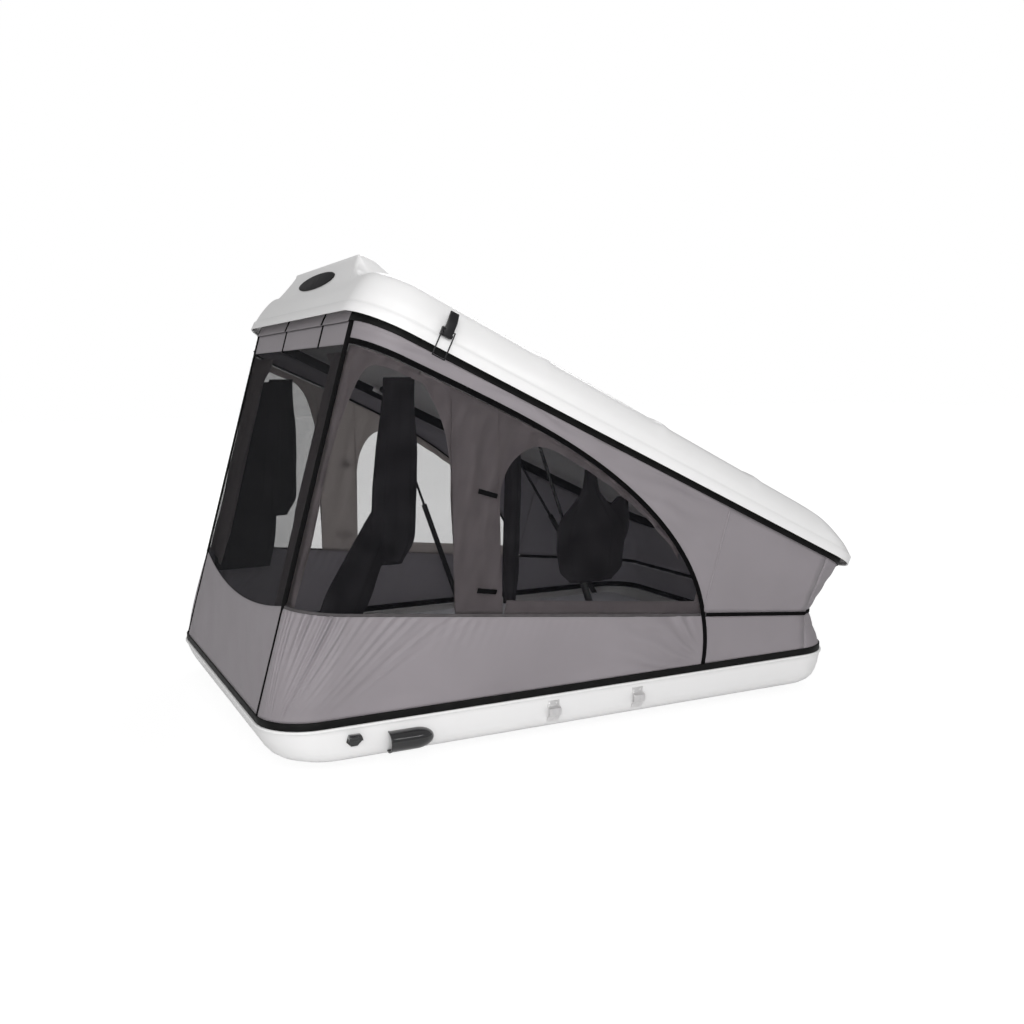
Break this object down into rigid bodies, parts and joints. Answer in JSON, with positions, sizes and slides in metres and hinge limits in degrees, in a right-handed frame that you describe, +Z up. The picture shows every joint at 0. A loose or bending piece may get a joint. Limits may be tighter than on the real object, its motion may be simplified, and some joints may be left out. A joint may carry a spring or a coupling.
{
  "type": "roof top tent",
  "caption": "Open hard shell roof top tent with a white moulded base tray, a tilting white moulded roof on gas struts, and grey canvas walls with dark net windows",
  "frame": {"origin": "middle of the rack bolt pattern, on the underside of the mounting rails", "axes": "+X along the tent towards its low front end, +Y across it to the left side, +Z up"},
  "size_m": [2.13, 1.468, 1.4614],
  "materials": {
    "shell": "gloss",
    "rubber": "matte",
    "rail": "satin",
    "steel": "satin",
    "wood": "matte",
    "foam_cover": "matte",
    "black_plastic": "gloss",
    "matte_black": "satin",
    "liner": "matte",
    "strut_black": "satin",
    "rod_black": "satin",
    "canvas": "matte",
    "net": "matte",
    "webbing": "matte",
    "inner_cloth": "matte",
    "drape_cloth": "matte"
  },
  "bodies": {
    "base": {"base_tray": "shell", "base_edge_band": "rubber", "mounting_rails": "rail", "rail_rivets": "steel", "floor_battens": "wood", "floor_panel": "wood", "mattress": "foam_cover", "vent_cowl": "black_plastic", "vent_screen": "matte_black", "saddle_loops": "steel", "saddle_screws": "steel", "latch_keepers": "black_plastic", "strut_base_studs": "steel", "rear_skirt": "canvas", "rear_net": "net", "rear_header": "canvas", "rear_header_straps": "webbing", "corner_strips": "webbing", "right_skirt": "canvas", "left_skirt": "canvas", "right_header": "canvas", "left_header": "canvas", "right_net": "net", "left_net": "net", "right_inner_wall": "inner_cloth", "left_inner_wall": "inner_cloth", "right_zip": "webbing", "left_zip": "webbing", "side_tabs": "webbing", "front_wall_lower": "canvas", "front_wall_upper": "canvas", "front_piping": "webbing", "right_door_drape": "drape_cloth", "left_door_drape": "drape_cloth", "right_window_drape": "drape_cloth"},
    "roof": {"roof_shell": "shell", "roof_seal": "rubber", "roof_liner": "liner", "name_plate": "black_plastic", "latch_bases": "matte_black", "strut_roof_studs": "steel"},
    "front_cylinders": {"front_cylinders": "strut_black"},
    "front_rods": {"front_rods": "rod_black"},
    "rear_cylinders": {"rear_cylinders": "strut_black"},
    "rear_rods": {"rear_rods": "rod_black"},
    "right_lever": {"right_latch_lever": "matte_black"},
    "left_lever": {"left_latch_lever": "matte_black"},
    "right_bail": {"right_latch_bail": "steel"},
    "left_bail": {"left_latch_bail": "steel"}
  },
  "joints": [
    {"name": "lift_fold", "type": "hinge", "parent": "base", "child": "front_cylinders", "pos_m": [0.82, 0, 0.086], "axis": [0, -1, 0], "range_deg": [0, 50.66], "deforming": ["rear_skirt", "rear_net", "rear_header", "rear_header_straps", "corner_strips", "right_skirt", "left_skirt", "right_header", "left_header", "right_net", "left_net", "right_inner_wall", "left_inner_wall", "right_zip", "left_zip", "side_tabs", "front_wall_lower", "front_wall_upper", "front_piping", "right_door_drape", "left_door_drape", "right_window_drape"]},
    {"name": "front_rod_slide", "type": "slide", "parent": "front_cylinders", "child": "front_rods", "axis": [-0.5247, 0, 0.8513], "range_m": [-0.18967, 0]},
    {"name": "roof_tilt", "type": "hinge", "parent": "front_rods", "child": "roof", "pos_m": [0.39918, 0, 0.7687], "axis": [0, -1, 0], "range_deg": [-25.11, 0]},
    {"name": "rear_strut_fold", "type": "hinge", "parent": "base", "child": "rear_cylinders", "pos_m": [0.15, 0, 0.086], "axis": [0, -1, 0], "range_deg": [0, 62.82]},
    {"name": "rear_rod_slide", "type": "slide", "parent": "rear_cylinders", "child": "rear_rods", "axis": [-0.3301, 0, 0.9439], "range_m": [-0.4283, 0]},
    {"name": "right_lever_swing", "type": "hinge", "parent": "roof", "child": "right_lever", "pos_m": [-0.47147, -0.724, 1.20803], "axis": [0.9018, 0, -0.4321], "range_deg": [0, 120]},
    {"name": "right_bail_swing", "type": "hinge", "parent": "right_lever", "child": "right_bail", "pos_m": [-0.46628, -0.729, 1.21885], "axis": [0.9018, 0, -0.4321], "range_deg": [-120, 0]},
    {"name": "left_lever_swing", "type": "hinge", "parent": "roof", "child": "left_lever", "pos_m": [-0.47147, 0.724, 1.20803], "axis": [-0.9018, 0, 0.4321], "range_deg": [0, 120]},
    {"name": "left_bail_swing", "type": "hinge", "parent": "left_lever", "child": "left_bail", "pos_m": [-0.46628, 0.729, 1.21885], "axis": [-0.9018, 0, 0.4321], "range_deg": [-120, 0]}
  ],
  "couplings": [
    {"joint": "front_rod_slide", "follows": "lift_fold", "m_per_rad": -0.2143},
    {"joint": "roof_tilt", "follows": "lift_fold", "ratio": -0.49464},
    {"joint": "rear_strut_fold", "follows": "lift_fold", "ratio": 1.2391},
    {"joint": "rear_rod_slide", "follows": "lift_fold", "m_per_rad": -0.48421},
    {"joint": "right_bail_swing", "follows": "right_lever_swing", "ratio": -1},
    {"joint": "left_bail_swing", "follows": "left_lever_swing", "ratio": -1}
  ]
}
